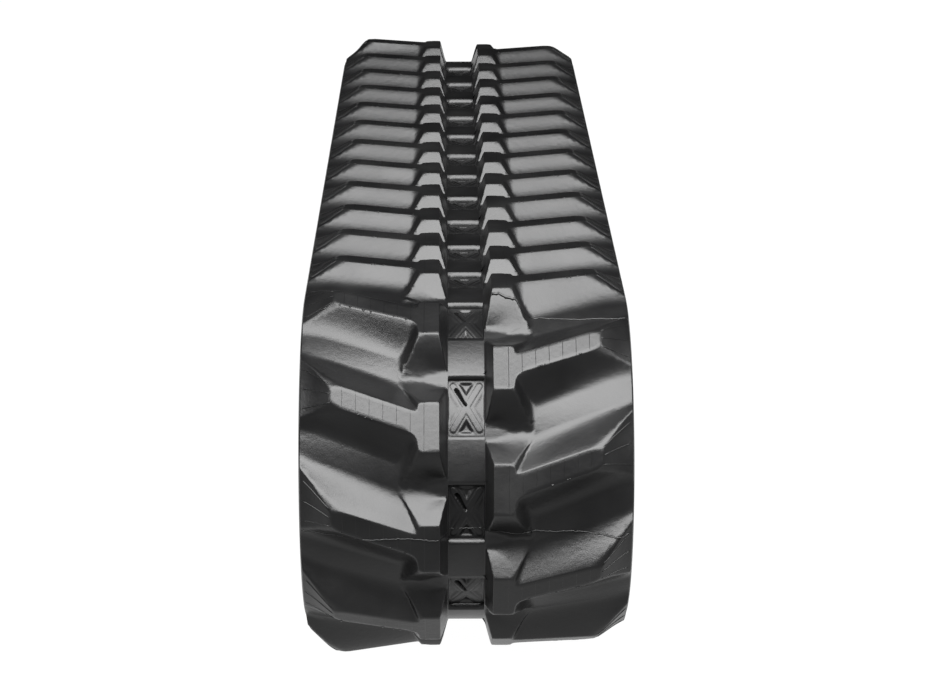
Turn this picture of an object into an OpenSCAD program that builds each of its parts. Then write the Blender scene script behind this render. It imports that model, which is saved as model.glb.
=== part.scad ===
// Rubber track for a mini excavator: a closed loop of rubber, forged core metals and steel cords.
// X runs across the belt, Y along the loop and Z up. The loop stands on its lower lugs, and its
// origin is the middle of its footprint.
//
// A link's own frame has X across, Y along the belt and Z out towards the ground, with Z = 0 on the
// cord line, which is the line that keeps its length when the belt bends. Every hinge lies on it.

/* [Loop] */
// Width across the belt
belt_w = 230; // [180:5:280]
// Distance between neighbouring core metals along the cord line
pitch = 72; // [62:1:88]

/* [Rubber] */
// Rubber over the cords, up to the floor between the lugs
outer_cover = 7.9; // [6:0.1:12]
// Rubber between the cords and the core metals
skim = 1.5; // [1:0.1:3]
// Rubber under the core metals, down to the roller path
inner_cover = 4.4; // [3:0.1:8]
// Height of the lugs over the floor
lug_h = 16; // [10:0.5:24]
// How far the flank of a lug runs out by the time it reaches the floor
flank_run = 12.5; // [8:0.5:15]
// Width of a lug's bar at its top
bar_w = 15; // [10:0.5:20]
// Angle between a lug's bar and the straight across line
bar_slant = 19; // [0:1:24]
// Length of a lug's head along the belt, at its top
head_l = 35; // [28:0.5:42]
// Width of a lug's head across the belt, at its top
head_w = 14.5; // [10:0.5:20]
// Distance that the slope at a lug's outer end takes up, in from the belt's edge
shoulder_run = 23; // [14:1:32]

/* [Drive windows] */
// Width of the central channel at the floor
channel_w = 26.4; // [22:0.2:32]
// How far the wall of a head leans back from the channel
channel_lean = 5.3; // [3:0.1:8]
// Length of the moulded pocket at its bottom
pocket_l = 39; // [32:0.5:45]
// Run of the pocket's sloping end walls
pocket_run = 3.3; // [1:0.1:5]
// Depth of the pocket below the floor
pocket_depth = 4.5; // [2:0.1:6]
// Thickness of the web that closes a window
web_t = 2.5; // [1.5:0.1:4]
// Width of a window seen from inside the loop
window_w = 30; // [26:0.5:34]
// Width of the slit in a web
slit_w = 2.2; // [1:0.1:4]
// Length of the slit in a web
slit_l = 15; // [8:0.5:20]

/* [Core metals] */
// Thickness of a wing
wing_t = 6; // [4:0.1:9]
// Length of a wing along the belt, at its root
wing_root_l = 24; // [18:0.5:30]
// Length of a wing along the belt, at its tip
wing_tip_l = 18; // [12:0.5:24]
// Rubber between the tip of a wing and the belt's edge
wing_margin = 18; // [10:1:26]
// Length along the belt of the bar that the sprocket drives
drive_bar_l = 20; // [14:0.5:24]
// Rubber on each driven face of that bar
drive_face_cover = 2; // [1:0.1:4]
// Height of a guide horn above the roller path
horn_h = 30; // [18:0.5:36]
// Width of a horn across the belt, at its root
horn_w = 18; // [14:0.5:24]
// Length of a horn along the belt, where it leaves the wing
horn_l = 30; // [22:0.5:34]
// How far each face of a horn leans in by its tip
horn_lean = 5; // [2:0.5:6]

/* [Cords] */
// Diameter of a steel cord
cord_d = 4.2; // [3:0.1:5]
// Distance between neighbouring cords
cord_spacing = 8; // [6:0.5:11]
// Thickness of the sheet that ties the cords of a band together
sheet_t = 1.2; // [0.8:0.1:2]
// Rubber between the outermost cord and the belt's edge
cord_margin = 19; // [12:1:28]

/* [Flexing] */
// Largest turn between neighbouring links as the belt curls in
curl_max = 43; // [40:0.5:50]
// Largest turn between neighbouring links as the belt bends back
back_bend_max = 3.5; // [2:0.5:6]
// Gap from a link's end to the hinge plane
hinge_gap = 0.3; // [0.2:0.05:0.6]

/* [Hidden] */
run_links = 12;
end_links = 4;
end_turn = 180 / (end_links + 1);
half_run = run_links / 2;

cord_r = cord_d / 2;
floor_z = cord_r + outer_cover;
tip_z = floor_z + lug_h;
wing_top_z = -(cord_r + skim);
wing_bottom_z = wing_top_z - wing_t;
path_z = wing_bottom_z - inner_cover;
horn_tip_z = path_z - horn_h;
web_top_z = floor_z - pocket_depth;
web_bottom_z = web_top_z - web_t;
loop_h = pitch * end_rise(end_links);
half_belt = belt_w / 2;

beyond = 2;           // how far a cut runs past the face that it opens
edge_chamfer = 3;     // chamfer along the belt's two outer edges
edge_drop = 2;        // fall of the belt's outer face towards its edge
embed = edge_drop + 1;                    // how far a lug is sunk into the belt
shoulder_z = floor_z - edge_drop + 1.5;   // where a lug's end slope meets the belt's edge
lug_stagger = pitch / 4;                  // shift of each row of lugs from the core metals
bar_bare_z = wing_bottom_z / 2 - 1;       // the drive bar is bare steel from here to its bottom
bar_top_z = web_top_z - 1.5;              // the drive bar's top, under the rubber
bar_bottom_z = path_z + 1;                // the drive bar stops just short of the roller path
horn_in_x = window_w / 2 + 2;             // a horn's face next to the windows, at its root
horn_tip_chamfer = 4;
bar_chamfer = 4;
first_cord_x = horn_in_x + horn_w + 5;
cords_per_band = 1 + floor((half_belt - cord_margin - first_cord_x) / cord_spacing);
slit_angle = atan2(-14, 8);
slit_at = [-2.5, 8.5];

// Rigid sections of the belt, in order round the loop from the middle of its top run:
// name, first link, number of links.
SECTIONS = [
    ["top_rear_1", 0, 2], ["top_rear_2", 2, 2], ["top_rear_3", 4, 2],
    ["rear_end_1", 6, 1], ["rear_end_2", 7, 1], ["rear_end_3", 8, 1], ["rear_end_4", 9, 1],
    ["bottom_rear_2", 10, 2], ["bottom_rear_1", 12, 2],
    ["bottom_middle", 14, 4],
    ["bottom_front_1", 18, 2], ["bottom_front_2", 20, 2],
    ["front_end_1", 22, 1], ["front_end_2", 23, 1], ["front_end_3", 24, 1], ["front_end_4", 25, 1],
    ["top_front_3", 26, 2], ["top_front_2", 28, 2], ["top_front_1", 30, 2]
];

// ---------------------------------------------------------------- the loop's path

// Height gained round one end, in pitches
function end_rise(n) = n == 0 ? 0 : sin(end_turn * n) + end_rise(n - 1);

// Turn of link i from the top run, which is link 0's
function heading(i) =
    i < half_run ? 0 :
    i < half_run + end_links ? (i - half_run + 1) * end_turn :
    i < half_run + end_links + run_links ? 180 :
    i < half_run + 2 * end_links + run_links ? 180 + (i - half_run - end_links - run_links + 1) * end_turn :
    360;

// Where link i starts, as [y, z] on the cord line
function hinge_at(i) =
    i == 0 ? [0, tip_z + loop_h] :
    hinge_at(i - 1) + pitch * [cos(heading(i - 1)), -sin(heading(i - 1))];

module place(section) {
    middle = (hinge_at(section[1]) + hinge_at(section[1] + section[2])) / 2;
    translate([0, middle[0], middle[1]])
        rotate([-heading(section[1]), 0, 0])
            children();
}

// Children at each link of a section of n links
module each_link(n, more = 0) {
    for (j = [-more : n - 1 + more])
        translate([0, (j - (n - 1) / 2) * pitch, 0])
            children();
}

// ---------------------------------------------------------------- helpers

// Extrudes a (y, z) outline across the belt, centred on it
module across(width) {
    rotate([90, 0, 90])
        linear_extrude(width, center = true)
            children();
}

// Extrudes an (x, z) outline along the belt, centred
module along(length) {
    rotate([90, 0, 0])
        linear_extrude(length, center = true)
            children();
}

// Children on the right half of the belt and mirrored on the left half
module both_halves() {
    children();
    mirror([1, 0, 0])
        children();
}

// The space that a section of n links may fill: its ends lean away from the hinges at both ends,
// so that neighbours stay apart from full curl to full back bend
module section_space(n) {
    end = n * pitch / 2 - hinge_gap;
    top = tip_z + beyond;
    bottom = horn_tip_z - beyond;
    top_end = end - top * tan(back_bend_max / 2);
    bottom_end = end + bottom * tan(curl_max / 2);
    across(belt_w + 2 * beyond)
        polygon([
            [-bottom_end, bottom], [bottom_end, bottom], [end, 0],
            [top_end, top], [-top_end, top], [-end, 0]
        ]);
}

// ---------------------------------------------------------------- rubber

module belt_outline() {
    half = [
        [half_belt - edge_chamfer, path_z], [half_belt, path_z + edge_chamfer],
        [half_belt, floor_z - edge_drop], [half_belt - shoulder_run, floor_z]
    ];
    polygon(concat(half, [for (i = [3 : -1 : 0]) [-half[i][0], half[i][1]]]));
}

// A lug's side outline: flat top, sloping flanks and a root sunk into the belt
module lug_outline(top_l) {
    root = top_l / 2 + flank_run;
    polygon([
        [-root, floor_z - embed], [root, floor_z - embed], [root, floor_z],
        [top_l / 2, tip_z], [-top_l / 2, tip_z], [-root, floor_z]
    ]);
}

// What a lug's head may fill, seen along the belt
module head_front() {
    inner = channel_w / 2;
    outer = inner + channel_lean + head_w;
    polygon([
        [inner, floor_z - embed], [inner, floor_z], [inner + channel_lean, tip_z],
        [outer, tip_z], [outer + flank_run * 0.8, floor_z], [outer + flank_run * 0.8, floor_z - embed]
    ]);
}

// What a whole lug may fill, seen along the belt: the outer end slopes down to the belt's edge
module lug_front() {
    inner = channel_w / 2;
    polygon([
        [inner, floor_z - embed], [inner, floor_z], [inner + channel_lean, tip_z],
        [half_belt - shoulder_run, tip_z], [half_belt, shoulder_z], [half_belt, floor_z - embed]
    ]);
}

module right_lug() {
    head_x = channel_w / 2 + channel_lean + head_w / 2;
    reach = 2 * (half_belt - head_x);
    intersection() {
        along(2 * pitch)
            lug_front();
        union() {
            intersection() {
                along(2 * pitch)
                    head_front();
                translate([head_x, 0, 0])
                    across(2 * (head_w + channel_lean + flank_run))
                        lug_outline(head_l);
            }
            translate([head_x, 0, 0])
                rotate([0, 0, bar_slant])
                    translate([reach / 2, 0, 0])
                        across(reach)
                            lug_outline(bar_w);
        }
    }
}

// One link's two lugs: the heads stand half a pitch apart and both bars trail the same way
module lugs() {
    translate([0, -lug_stagger, 0])
        right_lug();
    translate([0, lug_stagger, 0])
        mirror([1, 0, 0])
            right_lug();
}

// The moulded pocket over a window, open outwards
module pocket() {
    top = floor_z + beyond;
    lean = pocket_run / pocket_depth;
    long_top = pocket_l / 2 + lean * (top - web_top_z);
    intersection() {
        across(channel_w)
            polygon([
                [-pocket_l / 2, web_top_z], [pocket_l / 2, web_top_z], [long_top, top], [-long_top, top]
            ]);
        along(2 * long_top + 1)
            translate([-channel_w / 2, web_top_z])
                square([channel_w, top - web_top_z]);
    }
}

// The hollow that a sprocket tooth enters from inside the loop
module window_hollow() {
    length = pitch - drive_bar_l - 2 * drive_face_cover;
    translate([-window_w / 2, -length / 2, path_z - beyond])
        cube([window_w, length, web_bottom_z - path_z + beyond]);
}

// The slit through the web of a window, which lets mud out
module slit() {
    translate([slit_at[0], slit_at[1], web_bottom_z - 1])
        rotate([0, 0, slit_angle])
            translate([-slit_l / 2, -slit_w / 2, 0])
                cube([slit_l, slit_w, web_t + 2]);
}

module rubber(section) {
    n = section[2];
    color("#232326")
        place(section)
            difference() {
                intersection() {
                    section_space(n);
                    union() {
                        along(n * pitch)
                            belt_outline();
                        each_link(n, 1)
                            lugs();
                    }
                }
                each_link(n + 1) {
                    pocket();
                    window_hollow();
                    slit();
                }
                translate([-window_w / 2, -n * pitch, path_z - beyond])
                    cube([window_w, 2 * n * pitch, bar_bare_z - path_z + beyond]);
                each_link(n)
                    core_metal();
                cord_bands(n * pitch + 2 * beyond);
            }
}

// ---------------------------------------------------------------- core metals

module wing() {
    root = window_w / 2 - beyond;
    tip = half_belt - wing_margin;
    shoulder = horn_in_x + horn_w;
    translate([0, 0, wing_bottom_z])
        linear_extrude(wing_t)
            polygon([
                [root, -wing_root_l / 2], [shoulder, -wing_root_l / 2], [tip, -wing_tip_l / 2],
                [tip, wing_tip_l / 2], [shoulder, wing_root_l / 2], [root, wing_root_l / 2]
            ]);
}

// A guide horn: it tapers on all sides, and its tip is chamfered along the belt
module horn() {
    top = wing_bottom_z + 1;
    half_l = horn_l / 2;
    tip_half_l = half_l - horn_lean;
    intersection() {
        across(belt_w)
            polygon([
                [-half_l, top], [half_l, top], [tip_half_l, horn_tip_z + horn_tip_chamfer],
                [tip_half_l - horn_tip_chamfer, horn_tip_z], [-tip_half_l + horn_tip_chamfer, horn_tip_z],
                [-tip_half_l, horn_tip_z + horn_tip_chamfer]
            ]);
        along(2 * horn_l)
            polygon([
                [horn_in_x, top], [horn_in_x + horn_w, top],
                [horn_in_x + horn_w - horn_lean, horn_tip_z + 1.5],
                [horn_in_x + horn_w - horn_lean - 1.5, horn_tip_z],
                [horn_in_x + 0.6 * horn_lean + 1.5, horn_tip_z], [horn_in_x + 0.6 * horn_lean, horn_tip_z + 1.5]
            ]);
    }
}

// The bar between the windows, which the sprocket teeth push on
module drive_bar() {
    half_l = drive_bar_l / 2;
    across(window_w)
        polygon([
            [-half_l + bar_chamfer, bar_bottom_z], [half_l - bar_chamfer, bar_bottom_z],
            [half_l, bar_bottom_z + bar_chamfer], [half_l, bar_top_z - 2], [half_l - 2, bar_top_z],
            [-half_l + 2, bar_top_z], [-half_l, bar_top_z - 2], [-half_l, bar_bottom_z + bar_chamfer]
        ]);
}

module core_metal() {
    drive_bar();
    both_halves() {
        wing();
        horn();
    }
}

module core_metals(section) {
    color("#4a4a4c")
        place(section)
            each_link(section[2])
                core_metal();
}

// ---------------------------------------------------------------- steel cords

// Two bands of cords, one on each side of the windows, each tied together by a thin sheet
module cord_bands(length) {
    band_w = (cords_per_band - 1) * cord_spacing;
    both_halves()
        union() {
            for (k = [0 : cords_per_band - 1])
                translate([first_cord_x + k * cord_spacing, 0, 0])
                    rotate([90, 0, 0])
                        cylinder(h = length, r = cord_r, center = true, $fn = 32);
            translate([first_cord_x, -length / 2, -sheet_t / 2])
                cube([band_w, length, sheet_t]);
        }
}

module steel_cords(section) {
    color("#a08a5a")
        place(section)
            intersection() {
                section_space(section[2]);
                cord_bands(section[2] * pitch);
            }
}

// ---------------------------------------------------------------- nodes

for (s = SECTIONS) {
    rubber(s);
    core_metals(s);
    steel_cords(s);
}
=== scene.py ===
"""Looks of an endless rubber crawler track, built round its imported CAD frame.

The belt is one moulding. It is drawn as 18 rubber pieces, one across each joint, that meet
inside the rigid sections, so that no seam ever opens. Lengths are in millimetres until a mesh
is made. Along the belt, s is the distance from the middle of the top run, row is the same
distance slanted with the lug bars, and h is the height above the steel cords' line.
"""

import math

import bpy
import numpy as np
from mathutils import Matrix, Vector


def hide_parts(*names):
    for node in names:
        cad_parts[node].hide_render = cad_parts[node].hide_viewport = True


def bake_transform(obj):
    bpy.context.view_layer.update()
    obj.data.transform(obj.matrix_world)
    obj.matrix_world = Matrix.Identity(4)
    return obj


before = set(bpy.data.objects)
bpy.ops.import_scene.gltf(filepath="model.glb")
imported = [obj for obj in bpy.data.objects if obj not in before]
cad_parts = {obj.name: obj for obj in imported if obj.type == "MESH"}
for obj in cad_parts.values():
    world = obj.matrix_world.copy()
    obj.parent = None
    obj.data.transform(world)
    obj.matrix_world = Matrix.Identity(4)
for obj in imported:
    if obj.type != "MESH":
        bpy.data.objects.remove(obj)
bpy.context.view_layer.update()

MM = 0.001

# ---------------------------------------------------------------- sizes, as in the CAD source

PITCH = 72.0
HALF_PITCH = PITCH / 2
HALF_BELT = 115.0
RUN_LINKS = 12
END_LINKS = 4
END_TURN = 36.0
LUG_TOP = 26.0
FLOOR = 10.0
INNER = -14.0
WEB_TOP = 5.5
WEB_BOTTOM = 3.0
BAR_BARE = -5.8
HOLLOW_HALF_W = 15.0
HOLLOW_HALF_L = 24.0
FLEX_GROOVE = 3.0
FLEX_GROOVE_HALF_L = 6.0
EDGE_DROP = 2.0

HEAD_IN = 18.5
HEAD_OUT = 33.0
HEAD_MIDDLE = (HEAD_IN + HEAD_OUT) / 2
HALF_HEAD = 17.5
HALF_BAR = 7.5
BAR_END = 92.0
SLANT = math.radians(19)
LUG_STAGGER = 18.0
POCKET_HALF_W = 12.2
POCKET_HALF_L = 19.5
POCKET_RUN = 0.6
POCKET_SIDE_RUN = 0.4
CHANNEL_EDGE = 12.8
CHANNEL_STEP = 0.35

# How steeply a lug's walls rise: its flanks, towards the channel, behind its head, at its bar's end
FLANK_RISE = (LUG_TOP - FLOOR) / 12.5
CHANNEL_WALL_RISE = (LUG_TOP - FLOOR) / 5.3
HEAD_BACK_RISE = (LUG_TOP - FLOOR) / 10
BAR_END_RISE = (LUG_TOP - FLOOR) / 23

LINKS = 2 * (RUN_LINKS + END_LINKS)
LOOP = LINKS * PITCH
HALF_RUN = RUN_LINKS // 2
LOOP_H = PITCH * sum(math.sin(math.radians(END_TURN * n)) for n in range(1, END_LINKS + 1))
# The belt bends round each hinge over this length before and after it
BEND_HALF = 36.0
BEND_R = BEND_HALF / math.tan(math.radians(END_TURN / 2))

# Each rigid section of the loop: its name, its first link and how many links it has
SECTIONS = [
    ("top_rear_1", 0, 2), ("top_rear_2", 2, 2), ("top_rear_3", 4, 2),
    ("rear_end_1", 6, 1), ("rear_end_2", 7, 1), ("rear_end_3", 8, 1), ("rear_end_4", 9, 1),
    ("bottom_rear_2", 10, 2), ("bottom_rear_1", 12, 2),
    ("bottom_middle", 14, 4),
    ("bottom_front_1", 18, 2), ("bottom_front_2", 20, 2),
    ("front_end_1", 22, 1), ("front_end_2", 23, 1), ("front_end_3", 24, 1), ("front_end_4", 25, 1),
    ("top_front_3", 26, 2), ("top_front_2", 28, 2), ("top_front_1", 30, 2),
]

# ---------------------------------------------------------------- the loop's path


def heading(i):
    """Degrees that link i has turned from the top run, which is link 0's."""
    if i < HALF_RUN:
        return 0.0
    if i < HALF_RUN + END_LINKS:
        return (i - HALF_RUN + 1) * END_TURN
    if i < HALF_RUN + END_LINKS + RUN_LINKS:
        return 180.0
    if i < HALF_RUN + 2 * END_LINKS + RUN_LINKS:
        return 180.0 + (i - HALF_RUN - END_LINKS - RUN_LINKS + 1) * END_TURN
    return 360.0


HEADINGS = np.radians([heading(i) for i in range(-1, LINKS + 1)])
HEADINGS[0] = 0.0


def hinge_points():
    """Where each link starts, as rows of y and z on the polygon that the hinges make."""
    points = [np.array([0.0, LUG_TOP + LOOP_H])]
    for i in range(LINKS):
        a = HEADINGS[i + 1]
        points.append(points[-1] + PITCH * np.array([math.cos(a), -math.sin(a)]))
    return np.array(points)


HINGES = hinge_points()


def path(s):
    """The points of the cord line at s and the belt's heading there, with its corners rounded."""
    s = np.mod(s, LOOP)
    link = np.minimum((s // PITCH).astype(int), LINKS - 1)
    along = s - PITCH * link
    here = HEADINGS[link + 1]
    turn_before = np.where(link > 0, here - HEADINGS[link], 0.0)
    turn_after = np.where(link < LINKS - 1, HEADINGS[link + 2] - here, 0.0)
    first = along < BEND_HALF
    last = along > PITCH - BEND_HALF
    turn = np.where(first, turn_before, np.where(last, turn_after, 0.0))
    corner = HINGES[np.where(last, link + 1, link)]
    begin = np.where(first, here - turn_before, here)
    run = np.where(first, along + BEND_HALF, along - (PITCH - BEND_HALF))
    bent = turn > 1e-6
    angle = np.where(bent, begin + turn * run / (2 * BEND_HALF), here)
    straight = HINGES[link] + along[..., None] * tangent(here)
    centre = corner - BEND_HALF * tangent(begin) - BEND_R * normal(begin)
    arc = centre + BEND_R * normal(angle)
    return np.where(bent[..., None], arc, straight), angle


def tangent(angle):
    """The belt's direction at a heading, as y and z."""
    return np.stack([np.cos(angle), -np.sin(angle)], axis=-1)


def normal(angle):
    """The direction out of the loop at a heading, as y and z."""
    return np.stack([np.sin(angle), np.cos(angle)], axis=-1)


# ---------------------------------------------------------------- the belt's shape


def smooth_min(a, b, k):
    """The smaller of a and b, rounded where they are less than k apart."""
    near = np.clip(k - np.abs(a - b), 0, None) / k
    return np.minimum(a, b) - near * near * k / 4


def smooth_max(a, b, k):
    return -smooth_min(-a, -b, k)


def smooth_step(t):
    """A soft step from 0 at t = 0 to 1 at t = 1."""
    t = np.clip(t, 0, 1)
    return t * t * (3 - 2 * t)


def wrapped(v):
    """v brought within half a pitch of a lug's middle."""
    return np.mod(v + HALF_PITCH, PITCH) - HALF_PITCH


def slanted(across):
    """How far the lug bars have trailed at a distance across from the middle of the belt."""
    return math.tan(SLANT) * np.clip(across - HEAD_MIDDLE, 0, None)


def lug_middle(x):
    """The place along a pitch of the lug on x's side."""
    return np.where(x > 0, PITCH / 2 - LUG_STAGGER, PITCH / 2 + LUG_STAGGER)


def tighter(k, d):
    """A corner's rounding: k on a lug's top, much less down its flanks."""
    return k * (1 - 0.75 * np.clip(d / 8, 0, 1))


def lug_distance(across, row):
    """Distance outside a lug's top outline, measured as on a flank. row is from the lug's middle."""
    v = wrapped(row + slanted(across))
    ends = np.abs(v) - HALF_HEAD
    back = (across - HEAD_OUT) * HEAD_BACK_RISE / FLANK_RISE
    front = (HEAD_IN - across) * CHANNEL_WALL_RISE / FLANK_RISE
    round_end = tighter(4.0, np.maximum(ends, back))
    head = smooth_max(smooth_max(ends, back, round_end), front, 2.0)
    q = row * math.cos(SLANT)
    tip = (across - BAR_END) * BAR_END_RISE / FLANK_RISE
    root = (HEAD_MIDDLE - across) * CHANNEL_WALL_RISE / FLANK_RISE
    side = np.abs(q) - HALF_BAR
    round_tip = tighter(5.0, np.maximum(side, tip))
    bar = smooth_max(smooth_max(side, tip, round_tip), root, 2.0)
    crotch = tighter(np.where(q > 0, 4.7, 10.5), np.minimum(head, bar))
    return smooth_min(head, bar, crotch)


def floor_height(across):
    return FLOOR - EDGE_DROP * np.clip((across - BAR_END) / (HALF_BELT - BAR_END), 0, 1) ** 2


def outer_height(x, s):
    """The height of the lugs and the valleys between them."""
    across = np.abs(x)
    row = wrapped(s - slanted(across) - lug_middle(x))
    d = lug_distance(across, row)
    lug = smooth_min(LUG_TOP, LUG_TOP - FLANK_RISE * d, 1.0)
    fillet = 2.0 + 7.0 * smooth_step((across - 16) / 18)
    return smooth_max(lug, floor_height(across), fillet)


# The score lines' distances from the belt's middle, their size, and how far they tip the light
SCORES = [19.6 + 9.3 * n for n in range(1, 8)]
SCORE_HALF_W = 0.4
SCORE_HEIGHT = 0.1
SCORE_TILT = 7.5


def score_height(x, s):
    """The thin lines that the mould's joints leave across the lugs' tops."""
    across = np.abs(x)
    row = wrapped(s - slanted(across) - lug_middle(x))
    on_top = smooth_step(-lug_distance(across, row))
    ridge = np.zeros_like(across)
    for line in SCORES:
        ridge = np.maximum(ridge, np.clip(1 - np.abs(across - line) / SCORE_HALF_W, 0, 1))
    return SCORE_HEIGHT * ridge * on_top


def skin_height(x, s):
    return outer_height(x, s) + score_height(x, s)


def channel_height(x, s):
    """The middle channel with its pocket over each drive window."""
    across = np.abs(x)
    r = np.abs(wrapped(s))
    side = (across - POCKET_HALF_W) / POCKET_SIDE_RUN
    end = (r - POCKET_HALF_L) / POCKET_RUN
    wall = np.clip(np.maximum(side, end), 0, 1)
    top = outer_height(x, s) - CHANNEL_STEP
    return WEB_TOP + (top - WEB_TOP) * wall


def inner_height(x, s):
    """The face that the rollers run on, with its windows, bare bars and flex grooves."""
    across = np.abs(x)
    r = np.abs(wrapped(s))
    groove = FLEX_GROOVE * np.clip(1 - r / FLEX_GROOVE_HALF_L, 0, 1)
    hollow = np.where(r < HOLLOW_HALF_L, WEB_BOTTOM, BAR_BARE)
    return np.where(across < HOLLOW_HALF_W, hollow, INNER + groove)


# A lug in a bend lies along the belt as it is this far past the lug's middle
LUG_HOLD = 10.0


def surface(x, s, h):
    """Points in millimetres. A lug keeps its shape in a bend and stays level if it is on a run."""
    across = np.abs(x)
    row = wrapped(s - slanted(across) - lug_middle(x))
    middle = s - slanted(across) - row
    held = middle + LUG_HOLD
    rigid = np.clip((h - FLOOR) / (LUG_TOP - FLOOR), 0, 1)[..., None]
    point, angle = path(s)
    smooth = point + h[..., None] * normal(angle)
    base, angle = path(held)
    link = (np.mod(middle, LOOP) // PITCH).astype(int)
    level = HEADINGS[link + 1]
    on_run = np.abs(np.sin(level)) < 1e-6
    along = np.mod(middle, LOOP) - PITCH * link + LUG_HOLD
    level_base = HINGES[link] + along[..., None] * tangent(level)
    base = np.where(on_run[..., None], level_base, base)
    angle = np.where(on_run, level, angle)
    stiff = base + (s - held)[..., None] * tangent(angle) + h[..., None] * normal(angle)
    yz = smooth + (stiff - smooth) * rigid
    return np.concatenate([x[..., None], yz], axis=-1)


def outer_point(x, s):
    return surface(x, s, outer_height(x, s))


def skin_normals(x, s):
    """Normals of the lugs and valleys from the shape itself, so that flat faces shade flat."""
    step = 0.12
    sx = outer_point(x + step, s) - outer_point(x - step, s)
    ss = outer_point(x, s + step) - outer_point(x, s - step)
    n = np.cross(sx, ss)
    n = n / np.linalg.norm(n, axis=-1, keepdims=True)
    n[..., 0] += SCORE_TILT * score_height(x, s)
    return n / np.linalg.norm(n, axis=-1, keepdims=True)


# ---------------------------------------------------------------- the belt's grid


def half_pitch_rows():
    """Rows in half a pitch, close together at the lugs' top edges, alike for both rows of lugs."""
    near = [0, 1.5, 2.1, 4.8, 7.4, 8.46, 10.5, 12.7, 14.9, 17.0]
    middle = LUG_STAGGER
    rows = [(middle + n) % HALF_PITCH for n in near]
    rows += [(middle - n) % HALF_PITCH for n in near[1:]]
    return sorted(rows + [0.0])


ROWS = [half + row for half in (0.0, HALF_PITCH) for row in half_pitch_rows()]

# Each seam between two pieces is this far into its link
SEAM = 22.8


def outer_columns():
    """Distances across from the channel's edge to the belt's edge, three at each score line."""
    columns = [CHANNEL_EDGE, 13.3, 14.6, 16.2, 17.6, 18.1, 18.9, 22.0, 25.75]
    for line in SCORES:
        columns += [line - SCORE_HALF_W, line, line + SCORE_HALF_W, line + 3.2, line + 6.1]
    columns += [HEAD_OUT - 0.5, HEAD_OUT + 0.6, BAR_END - 0.5, BAR_END + 0.6]
    columns += [94.6 + 3.1 * n for n in range(6)] + [112.2, 113.4]
    return sorted(columns)


EDGE_PROFILE = [(114.5, 7.4), (115.0, 6.4), (115.0, -12.0), (114.5, -13.4), (113.0, INNER)]
INNER_COLUMNS = [100.0, 80.0, 60.0, 45.0, 30.0, 20.0, 15.3, 14.7, 7.5]
CHANNEL_COLUMNS = [12.5, POCKET_HALF_W, 8.1, 4.05]


def column_list():
    """The columns on top and below: (x, kind, height). Only the belt's edges have a height."""
    outer = outer_columns()
    right = [(x, "outer", 0.0) for x in outer] + [(x, "edge", h) for x, h in EDGE_PROFILE]
    right_inner = [(x, "inner", 0.0) for x in INNER_COLUMNS]
    channel = [(x, "channel", 0.0) for x in CHANNEL_COLUMNS]
    left = [(-x, kind, h) for x, kind, h in reversed(right)]
    left_channel = [(-x, kind, h) for x, kind, h in channel]
    left_inner = [(-x, kind, h) for x, kind, h in reversed(right_inner)]
    top = left + left_channel + [(0.0, "channel", 0.0)] + channel[::-1] + right
    return top, right_inner + [(0.0, "inner", 0.0)] + left_inner


TOP_COLUMNS, UNDER_COLUMNS = column_list()
COLUMNS = TOP_COLUMNS + UNDER_COLUMNS
COLUMN_X = np.array([c[0] for c in COLUMNS])
KIND = np.array([c[1] for c in COLUMNS])
EDGE_H = np.array([c[2] for c in COLUMNS])


def grid_heights(x, s):
    """Heights of a grid of belt points whose columns are COLUMNS."""
    h = np.where(KIND == "outer", skin_height(x, s), EDGE_H)
    h = np.where(KIND == "channel", channel_height(x, s), h)
    return np.where(KIND == "inner", inner_height(x, s), h)


class Shape:
    """Vertices, faces and vertex normals gathered for one piece."""

    def __init__(self):
        self.points = []
        self.normals = []
        self.faces = []
        self.slots = []
        self.count = 0

    def add(self, points, faces, normals=None, slots=None):
        points = np.asarray(points, float).reshape(-1, 3)
        faces = np.asarray(faces, int).reshape(-1, 3)
        normals = np.zeros_like(points) if normals is None else normals.reshape(-1, 3)
        slots = np.zeros(len(faces), int) if slots is None else slots
        self.points.append(points)
        self.normals.append(normals)
        self.faces.append(faces + self.count)
        self.slots.append(slots)
        self.count += len(points)

    def object(self, name, materials):
        points = np.concatenate(self.points) * MM
        faces = np.concatenate(self.faces)
        mesh = bpy.data.meshes.new(name)
        mesh.from_pydata(points.tolist(), [], faces.tolist())
        mesh.shade_smooth()
        mesh.set_sharp_from_angle(angle=math.radians(38))
        mesh.normals_split_custom_set_from_vertices(np.concatenate(self.normals).tolist())
        for material in materials:
            mesh.materials.append(material)
        mesh.polygons.foreach_set("material_index", np.concatenate(self.slots).tolist())
        piece = bpy.data.objects.new(name, mesh)
        bpy.context.scene.collection.objects.link(piece)
        return piece


def grid_faces(rows, columns, closed, keep, lift):
    """Triangles of a grid's kept cells. lift picks the falling diagonal of a cell."""
    across = columns if closed else columns - 1
    i, j = np.meshgrid(np.arange(rows - 1), np.arange(across), indexing="ij")
    k = (j + 1) % columns
    a = i * columns + j
    b = i * columns + k
    c = (i + 1) * columns + k
    d = (i + 1) * columns + j
    first = np.where(lift[..., None], np.stack([a, b, d], -1), np.stack([a, b, c], -1))
    second = np.where(lift[..., None], np.stack([b, c, d], -1), np.stack([a, c, d], -1))
    return np.concatenate([first[keep], second[keep]])


def best_diagonals(h, middle_h):
    """Which diagonal of each cell lies nearer to the true height at the cell's middle."""
    up = (h[:-1, :-1] + h[1:, 1:]) / 2
    down = (h[:-1, 1:] + h[1:, :-1]) / 2
    return np.abs(down - middle_h) < np.abs(up - middle_h)


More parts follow.
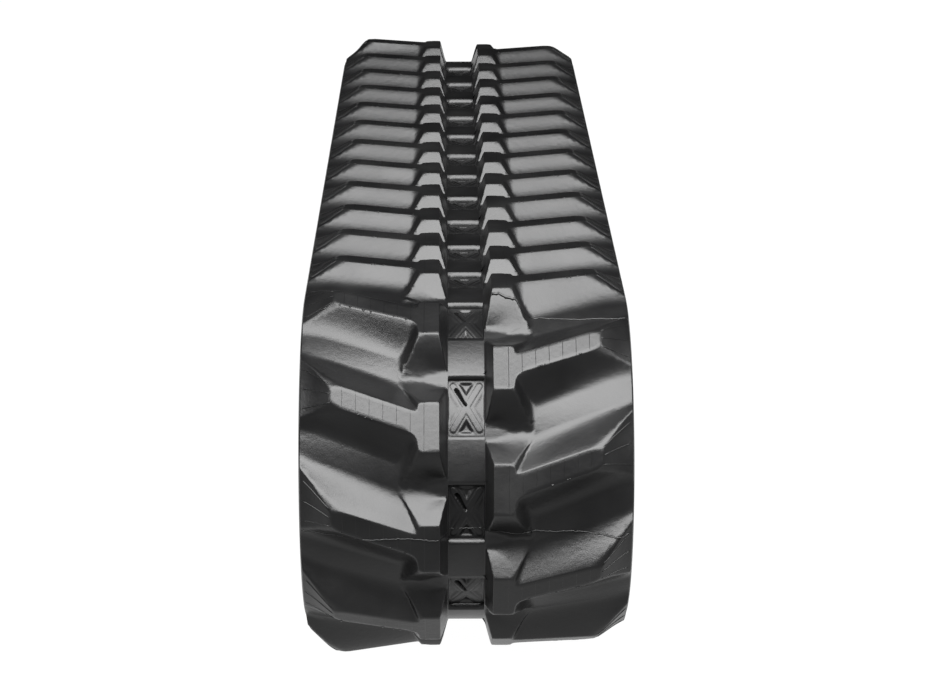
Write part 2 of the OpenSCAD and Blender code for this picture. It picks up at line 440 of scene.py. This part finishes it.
def belt_grid(shape, first_link, links, gap):
    """The belt's skin from the seam in first_link over a number of links, less gap."""
    rows = np.array([PITCH * n + r for n in range(links + 1) for r in ROWS])
    rows = rows[(rows >= SEAM - 0.01) & (rows <= PITCH * links + SEAM + 0.01)] + PITCH * first_link
    rows[-1] -= gap
    x = np.broadcast_to(COLUMN_X, (len(rows), len(COLUMNS)))
    s = rows[:, None] + slanted(np.abs(x))
    h = grid_heights(x, s)
    points = surface(x, s, h)
    normals = skin_normals(x, s)
    normals[:, KIND != "outer"] = 0.0

    wide = np.concatenate([x, x[:, :1]], axis=1)
    long = np.concatenate([s, s[:, :1]], axis=1)
    high = np.concatenate([h, h[:, :1]], axis=1)
    mid_x = (wide[:-1, :-1] + wide[1:, 1:]) / 2
    mid_s = (long[:-1, :-1] + long[1:, 1:] + long[:-1, 1:] + long[1:, :-1]) / 4
    mid_h = outer_height(mid_x, mid_s)
    lift = best_diagonals(high, mid_h)

    over_web = (np.abs(mid_x) < POCKET_HALF_W) & (np.abs(wrapped(mid_s)) < POCKET_HALF_L)
    top = np.arange(len(COLUMNS)) < len(TOP_COLUMNS) - 1
    keep = ~(over_web & top)
    shape.add(points, grid_faces(len(rows), len(COLUMNS), True, keep, lift), normals)
    belt_cap(shape, points[0], False)
    belt_cap(shape, points[-1], True)


def belt_cap(shape, ring, far):
    """Closes the skin's end at a seam, which lies inside the rubber."""
    upper = list(range(len(TOP_COLUMNS)))
    lower = [0, *range(len(COLUMNS) - 1, len(TOP_COLUMNS) - 2, -1)]
    faces = []
    i = 0
    j = 0
    while i < len(upper) - 1 or j < len(lower) - 1:
        go_upper = j == len(lower) - 1 or (
            i < len(upper) - 1 and ring[upper[i + 1]][0] <= ring[lower[j + 1]][0]
        )
        if go_upper:
            faces.append((upper[i], upper[i + 1], lower[j]))
            i += 1
        else:
            faces.append((upper[i], lower[j + 1], lower[j]))
            j += 1
    faces = [f for f in faces if len(set(f)) == 3]
    faces = [f[::-1] for f in faces] if far else faces
    shape.add(ring, faces)


# ---------------------------------------------------------------- webs, flash and fan lines

# Parting lines: place along the belt, where across it they begin and end, and how crooked they are
FLASH_LINES = [
    (PITCH * 24 - 11.0, -114.0, 114.0, 1.3),
    (PITCH * 26 - 2.0, 15.0, 114.0, 2.0),
    (PITCH * 26 - 2.0, -114.0, -96.0, 1.0),
    (PITCH * 8 - 11.0, -114.0, 114.0, 1.3),
]

# In a web: the tip of one arm of its cross, the middle of its slit, and half the slit's run
ARM_TIP = (9.0, 15.4)
SLIT_AT = (-3.6, 7.0)
SLIT_RUN = (3.1, -5.4)


def to_segment(x, y, a, b):
    """Distance from points to the straight line between a and b."""
    dx = b[0] - a[0]
    dy = b[1] - a[1]
    t = np.clip(((x - a[0]) * dx + (y - a[1]) * dy) / (dx * dx + dy * dy), 0, 1)
    return np.hypot(x - a[0] - t * dx, y - a[1] - t * dy)


def web_height(x, r):
    """A web's face: four raised arms in a cross, scooped hollows between them and the slit."""
    arm = np.minimum(
        to_segment(x, r, (-ARM_TIP[0], -ARM_TIP[1]), ARM_TIP),
        to_segment(x, r, (-ARM_TIP[0], ARM_TIP[1]), (ARM_TIP[0], -ARM_TIP[1])),
    )
    raised = 0.32 * smooth_step((2.4 - arm) / 0.8)
    outline = -0.1 * np.clip(1 - np.abs(arm - 2.8) / 0.7, 0, 1)
    along = np.abs(r) / ARM_TIP[1] - np.abs(x) / ARM_TIP[0]
    scoop = smooth_step((arm - 3.4) / 3.0) * smooth_step((18.6 - np.abs(r)) / 2.5)
    hollow = -np.where(along > 0, 1.6, 0.5) * scoop
    h = WEB_TOP + raised + outline + hollow
    # The slit is a pit down to just above the web's underside, not a hole through it; its near black
    # colour is painted shade
    return np.where(in_slit(x, r), WEB_BOTTOM + 0.2, h)


def in_slit(x, r):
    """Whether points are in a web's slit, which is wider towards the web's corner."""
    start = (SLIT_AT[0] - SLIT_RUN[0], SLIT_AT[1] - SLIT_RUN[1])
    end = (SLIT_AT[0] + SLIT_RUN[0], SLIT_AT[1] + SLIT_RUN[1])
    near_corner = np.clip((r - end[1]) / (start[1] - end[1]), 0, 1)
    return to_segment(x, r, start, end) < 0.7 + 0.8 * near_corner


def web_patch(shape, hinge):
    """The web in one pocket, on a grid of its own fine enough for its slit."""
    xs = np.linspace(-POCKET_HALF_W, POCKET_HALF_W, 37)
    rs = np.linspace(-POCKET_HALF_L, POCKET_HALF_L, 57)
    x, r = np.meshgrid(xs, rs)
    h = web_height(x, r)
    rim = (np.abs(x) > POCKET_HALF_W - 0.01) | (np.abs(r) > POCKET_HALF_L - 0.01)
    h = np.where(rim, WEB_TOP, h)
    middle = web_height((x[:-1, :-1] + x[1:, 1:]) / 2, (r[:-1, :-1] + r[1:, 1:]) / 2)
    lift = best_diagonals(h, middle)
    points = surface(x, r + PITCH * hinge, h)
    faces = grid_faces(len(rs), len(xs), False, np.full(lift.shape, True), lift)
    centre_x = x.reshape(-1)[faces].mean(axis=1)
    centre_r = r.reshape(-1)[faces].mean(axis=1)
    # The slit's faces take the second material, which is painted shade
    shape.add(points, faces, slots=in_slit(centre_x, centre_r).astype(int))


def bead(shape, xs, ss, width, height):
    """A thin raised bead, its base sunk in the lugs and valleys, through the points xs, ss."""
    x = np.asarray(xs, float)
    s = np.asarray(ss, float)
    dx = np.gradient(x)
    ds = np.gradient(s)
    length = np.hypot(dx, ds)
    nx = -ds / length * width / 2
    ns = dx / length * width / 2
    taper = np.ones(len(x))
    taper[[0, -1]] = 0.1
    sides = []
    for offset, rise in ((1, -0.15), (0, height), (-1, -0.15)):
        px = x + offset * nx * taper
        ps = s + offset * ns * taper
        flat = np.where(np.abs(px) < CHANNEL_EDGE, channel_height(px, ps), outer_height(px, ps))
        sides.append(surface(px, ps, flat + rise * (taper if rise > 0 else 1)))
    points = np.stack(sides, axis=1)
    lift = np.full((len(x) - 1, 3), False)
    skin = grid_faces(len(x), 3, True, np.full(lift.shape, True), lift)
    end = 3 * len(x)
    shape.add(points, [*skin.tolist(), (0, 2, 1), (end - 3, end - 2, end - 1)])


def flash_line(shape, s, begin, end, wander, seed):
    """A mould's parting line across the belt: thin, a little crooked and jagged along its length."""
    rng = np.random.default_rng(seed)
    x = np.arange(begin, end, 1.6)
    knots = np.arange(begin - 20, end + 20, 14)
    coarse = np.interp(x, knots, rng.normal(0, 1, len(knots)))
    fine = rng.normal(0, 0.18, len(x))
    bead(shape, x, s + wander * (0.7 * coarse + fine), 1.1, 0.6)


def fan_lines(shape, link):
    """Three thin ridges that spread from each bar's end to the belt's edge."""
    for side in (-1, 1):
        middle = PITCH * link + float(lug_middle(np.array(side)))
        for start, spread in ((-5.5, -10.0), (0.5, -1.5), (6.0, 8.0)):
            across = np.linspace(BAR_END + 0.5, 113.0, 12)
            row = start + spread * (across - BAR_END) / (HALF_BELT - BAR_END)
            s = middle + row + slanted(across)
            bead(shape, side * across, s, 1.1, 0.45)


def torn_edges(shape, link):
    """Small torn bits of flash that stand out from the top edge of each bar's front flank."""
    for side in (-1, 1):
        rng = np.random.default_rng(2 * link + (side + 1) // 2)
        middle = PITCH * link + float(lug_middle(np.array(side)))
        for across in rng.uniform(38, 89, rng.integers(3, 8)):
            half = rng.uniform(0.4, 1.5)
            reach = rng.uniform(0.5, 1.5)
            at = across + np.array([-half, half, -half, half, 0.3 * half])
            out = np.array([-0.6, -0.6, -0.6, -0.6, reach])
            h = LUG_TOP + np.array([0.05, 0.05, -1.0, -1.0, -0.15])
            row = -(HALF_BAR + out) / math.cos(SLANT)
            points = surface(side * at, middle + row + slanted(at), h)
            faces = [(0, 1, 4), (1, 3, 4), (3, 2, 4), (2, 0, 4), (0, 2, 1), (1, 2, 3)]
            shape.add(points, [f[::-1] for f in faces] if side > 0 else faces)


# ---------------------------------------------------------------- materials


def new_material(name, colour, roughness, metallic=0.0):
    """A material with its shader's constants set, and the node tree to add to."""
    material = bpy.data.materials.new(name)
    material.use_nodes = True
    shader = material.node_tree.nodes["Principled BSDF"]
    shader.inputs["Base Color"].default_value = (*colour, 1)
    shader.inputs["Roughness"].default_value = roughness
    shader.inputs["Metallic"].default_value = metallic
    return material, material.node_tree, shader


def noise(tree, scale, detail, source=None):
    """A cloudy value at the places that source gives."""
    node = tree.nodes.new("ShaderNodeTexNoise")
    node.inputs["Scale"].default_value = scale
    node.inputs["Detail"].default_value = detail
    if source is not None:
        tree.links.new(source, node.inputs["Vector"])
    return node.outputs["Fac"]


def ramp(tree, value, stops):
    """Colours from a value: stops are (place, colour)."""
    node = tree.nodes.new("ShaderNodeValToRGB")
    while len(node.color_ramp.elements) < len(stops):
        node.color_ramp.elements.new(0.5)
    for element, (place, colour) in zip(node.color_ramp.elements, stops):
        element.position = place
        element.color = (*colour, 1)
    tree.links.new(value, node.inputs["Fac"])
    return node.outputs["Color"]


def spread(tree, value, low, high):
    """A value from 0 to 1 brought to the range from low to high."""
    node = tree.nodes.new("ShaderNodeMapRange")
    node.inputs["To Min"].default_value = low
    node.inputs["To Max"].default_value = high
    tree.links.new(value, node.inputs["Value"])
    return node.outputs["Result"]


def bump(tree, shader, heights):
    """Bumps in a chain: each is (height value, depth in metres)."""
    previous = None
    for value, depth in heights:
        node = tree.nodes.new("ShaderNodeBump")
        node.inputs["Strength"].default_value = 1.0
        node.inputs["Distance"].default_value = depth
        tree.links.new(value, node.inputs["Height"])
        if previous is not None:
            tree.links.new(previous, node.inputs["Normal"])
        previous = node.outputs["Normal"]
    tree.links.new(previous, shader.inputs["Normal"])


def coordinates(tree):
    """Places in the object's own frame, in metres."""
    return tree.nodes.new("ShaderNodeTexCoord").outputs["Object"]


def rubber_material():
    """Moulded black rubber, satin, with a faint bloom, handling marks and a fine skin."""
    material, tree, shader = new_material("rubber", (0.012, 0.012, 0.0125), 0.4)
    shader.inputs["Specular IOR Level"].default_value = 0.3
    where = coordinates(tree)
    cloudy = noise(tree, 22, 5, where)
    fine = noise(tree, 260, 4, where)
    colour = ramp(tree, cloudy, [
        (0.30, (0.0018, 0.0018, 0.0019)),
        (0.55, (0.0030, 0.0030, 0.0031)),
        (0.78, (0.0055, 0.0055, 0.0055)),
    ])
    tree.links.new(colour, shader.inputs["Base Color"])
    tree.links.new(spread(tree, cloudy, 0.24, 0.48), shader.inputs["Roughness"])
    bump(tree, shader, [(fine, 0.00014), (noise(tree, 1400, 2, where), 0.00006)])
    return material


def slit_painted_shade_material():
    """Painted shade for a web's slit: its pit stops short of the web's underside, and its faces are
    coloured near black to stand for the dark hollow seen through a real slit.
    """
    material, tree, shader = new_material("slit", (0.001, 0.001, 0.001), 0.9)
    shader.inputs["Specular IOR Level"].default_value = 0.05
    where = coordinates(tree)
    colour = ramp(tree, noise(tree, 400, 3, where), [
        (0.3, (0.0007, 0.0007, 0.0007)),
        (0.7, (0.0016, 0.0016, 0.0016)),
    ])
    tree.links.new(colour, shader.inputs["Base Color"])
    return material


def core_metal_material():
    """Forged steel with dark scale, rubbed brighter in patches."""
    material, tree, shader = new_material("core_metal", (0.09, 0.085, 0.08), 0.5, 0.8)
    where = coordinates(tree)
    cloudy = noise(tree, 60, 6, where)
    colour = ramp(tree, cloudy, [
        (0.35, (0.035, 0.033, 0.031)),
        (0.60, (0.095, 0.088, 0.080)),
        (0.80, (0.190, 0.160, 0.130)),
    ])
    tree.links.new(colour, shader.inputs["Base Color"])
    tree.links.new(spread(tree, cloudy, 0.62, 0.38), shader.inputs["Roughness"])
    bump(tree, shader, [(noise(tree, 320, 4, where), 0.0003)])
    return material


def steel_cord_material():
    """Brass plated wire, laid in a twist."""
    material, tree, shader = new_material("steel_cord", (0.45, 0.35, 0.2), 0.35, 1.0)
    where = coordinates(tree)
    wave = tree.nodes.new("ShaderNodeTexWave")
    wave.bands_direction = "DIAGONAL"
    wave.inputs["Scale"].default_value = 180
    tree.links.new(where, wave.inputs["Vector"])
    colour = ramp(tree, wave.outputs["Fac"], [
        (0.2, (0.20, 0.15, 0.08)),
        (0.7, (0.50, 0.40, 0.23)),
    ])
    tree.links.new(colour, shader.inputs["Base Color"])
    bump(tree, shader, [(wave.outputs["Fac"], 0.0003)])
    return material


def floor_material():
    """A pale studio floor whose brightness is painted light: it glows behind and beside the object, and
    less in front, a painted shade that darkens what the belt's lower faces reflect.
    """
    material, tree, shader = new_material("floor", (0.02, 0.02, 0.02), 0.9)
    shader.inputs["Specular IOR Level"].default_value = 0.05
    where = coordinates(tree)
    colour = ramp(tree, noise(tree, 3, 3, where), [
        (0.3, (0.018, 0.018, 0.018)),
        (0.7, (0.022, 0.022, 0.022)),
    ])
    tree.links.new(colour, shader.inputs["Base Color"])
    split = tree.nodes.new("ShaderNodeSeparateXYZ")
    tree.links.new(where, split.inputs["Vector"])
    # Painted shade: the floor's glow falls from full behind y = -0.52 m to 0.22 in front of y = -0.80 m,
    # so the lower belt reflects a darker floor
    near = tree.nodes.new("ShaderNodeMapRange")
    near.interpolation_type = "SMOOTHSTEP"
    near.inputs["From Min"].default_value = -0.80
    near.inputs["From Max"].default_value = -0.52
    near.inputs["To Min"].default_value = 0.22
    near.inputs["To Max"].default_value = 1.0
    tree.links.new(split.outputs["Y"], near.inputs["Value"])
    shader.inputs["Emission Color"].default_value = (1, 1, 1, 1)
    tree.links.new(near.outputs["Result"], shader.inputs["Emission Strength"])
    return material


# ---------------------------------------------------------------- pieces


# A length either side of a piece's hinge; belt_piece finds the point this far past it, but nothing uses
# that point
BLEND_HALF = 15.0

# The two ends of the loop meet at the middle of the top run with this much room
CLOSURE_GAP = 0.03


def seam_link(section):
    """The link in a section that holds the seam between its two pieces."""
    return section[1] + section[2] // 2


def belt_piece(before, after, last_link, gap, materials):
    """The rubber from the seam in one section to the seam in last_link, less gap."""
    first_link = seam_link(before)
    shape = Shape()
    links = last_link - first_link
    belt_grid(shape, first_link, links, gap)
    for hinge in range(first_link + 1, last_link + 1):
        web_patch(shape, hinge)
    for link in range(first_link, last_link):
        fan_lines(shape, link)
        torn_edges(shape, link)
    for n, (place, begin, end, wander) in enumerate(FLASH_LINES):
        if PITCH * first_link + SEAM < place < PITCH * last_link + SEAM:
            flash_line(shape, place, begin, end, wander, n)
    piece = shape.object(f"belt_{before[0]}_to_{after[0]}", materials)

    hinge = np.array([float(PITCH * after[1])])
    _, angle = path(hinge)
    along = tangent(angle)[0]
    corner = HINGES[after[1]]
    end = (0, *((corner + BLEND_HALF * along) * MM))
    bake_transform(piece)
    return piece


def belt(materials):
    """All the rubber pieces. The last one runs on over the middle of the top run, which has no joint."""
    for before, after in zip(SECTIONS[:-1], SECTIONS[1:]):
        last = after is SECTIONS[-1]
        last_link = LINKS + seam_link(SECTIONS[0]) if last else seam_link(after)
        gap = CLOSURE_GAP if last else 0.0
        piece = belt_piece(before, after, last_link, gap, materials)
        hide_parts(f"rubber_{before[0]}")
        if last:
            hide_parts(f"rubber_{after[0]}")


def steel(core, cord):
    """The CAD's core metals and cords, with worn edges on the forgings."""
    for name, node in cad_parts.items():
        if name.startswith("rubber_"):
            continue
        forged = name.startswith("core_metals_")
        node.data.materials.clear()
        node.data.materials.append(core if forged else cord)
        if forged:
            weld = node.modifiers.new("weld", "WELD")
            weld.merge_threshold = 0.00005
            bevel = node.modifiers.new("worn_edges", "BEVEL")
            bevel.width = 0.0014
            bevel.segments = 2
            bevel.limit_method = "ANGLE"
            bevel.angle_limit = math.radians(35)
            bevel.harden_normals = False


# ---------------------------------------------------------------- studio


def studio():
    """A wide pale floor, one large soft light high in front and a dim room."""
    mesh = bpy.data.meshes.new("floor")
    half = 12.0
    corners = [(-half, -half, 0), (half, -half, 0), (half, half, 0), (-half, half, 0)]
    mesh.from_pydata(corners, [], [(0, 1, 2, 3)])
    mesh.materials.append(floor_material())
    floor = bpy.data.objects.new("floor", mesh)
    bpy.context.scene.collection.objects.link(floor)

    world = bpy.data.worlds.new("room")
    world.use_nodes = True
    world.node_tree.nodes["Background"].inputs["Color"].default_value = (1, 1, 1, 1)
    world.node_tree.nodes["Background"].inputs["Strength"].default_value = 0.015
    bpy.context.scene.world = world
    bpy.context.scene.view_settings.view_transform = "Standard"

    soft_light("key", (0.0, -1.35, 1.9), (0, -0.25, 0.15), 4.2, 1.9, 460)


def soft_light(name, at, towards, width, height, watts):
    """A wide soft lamp at a place, turned towards a point."""
    light = bpy.data.lights.new(name, "AREA")
    light.shape = "RECTANGLE"
    light.size = width
    light.size_y = height
    light.energy = watts
    lamp = bpy.data.objects.new(name, light)
    lamp.location = at
    aim(lamp, towards)
    bpy.context.scene.collection.objects.link(lamp)
    return lamp


def aim(thing, towards):
    """Turns a lamp's -Z axis towards a point."""
    way = Vector(towards) - Vector(thing.location)
    thing.rotation_euler = way.to_track_quat("-Z", "Y").to_euler()


def camera():
    """The view along the loop from its front, a little from above."""
    data = bpy.data.cameras.new("camera")
    data.lens = 100.75
    data.sensor_width = 36
    eye = bpy.data.objects.new("camera", data)
    eye.location = (-0.0143, -2.180, 0.8027)
    eye.rotation_euler = (math.radians(90 - 18.21), 0, math.radians(-0.49))
    bpy.context.scene.collection.objects.link(eye)
    bpy.context.scene.camera = eye


belt([rubber_material(), slit_painted_shade_material()])
steel(core_metal_material(), steel_cord_material())
studio()
camera()
